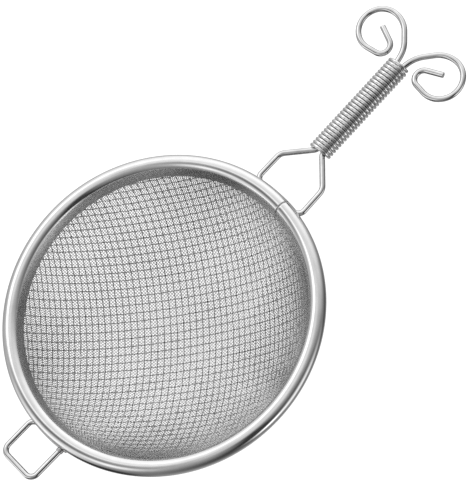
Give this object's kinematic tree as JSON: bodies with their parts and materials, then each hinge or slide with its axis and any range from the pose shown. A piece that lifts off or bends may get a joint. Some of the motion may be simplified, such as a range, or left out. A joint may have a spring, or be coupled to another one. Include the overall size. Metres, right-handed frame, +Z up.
{
  "type": "double sieve strainer",
  "caption": "Round bowl strainer of fine wire cloth backed by coarse wire cloth, with a rolled rim, a wire handle with a coiled grip and scrolled ends, and a rest loop.",
  "frame": {"origin": "centre of the rim, level with the middle of its bead", "axes": "+Z up out of the bowl's mouth, +X along the handle, -X towards the rest loop"},
  "size_m": [0.3574, 0.2, 0.0815],
  "materials": {
    "polished_rim": "polished stainless sheet with a fine grain round the rim",
    "hoop_wire": "dull drawn steel",
    "weld_metal": "rough pickled weld metal",
    "fine_cloth_steel": "bright fine woven wire",
    "coarse_cloth_steel": "grey coarse woven wire",
    "drawn_wire": "bright drawn stainless wire",
    "coil_wire": "bright drawn stainless wire"
  },
  "bodies": {
    "strainer": {"rim_band": "polished_rim", "rim_hoop": "hoop_wire", "rim_seam_weld": "weld_metal", "fine_cloth": "fine_cloth_steel", "coarse_cloth_warp": "coarse_cloth_steel", "coarse_cloth_weft": "coarse_cloth_steel", "handle_wire": "drawn_wire", "handle_welds": "weld_metal", "rest_loop": "drawn_wire", "rest_loop_welds": "weld_metal"},
    "grip": {"grip_coil": "coil_wire"}
  },
  "joints": [
    {"name": "grip_spin", "type": "hinge", "parent": "strainer", "child": "grip", "pos_m": [0.1705, 0, -0.00057], "axis": [0.9976, 0, 0.0698], "continuous": true}
  ]
}
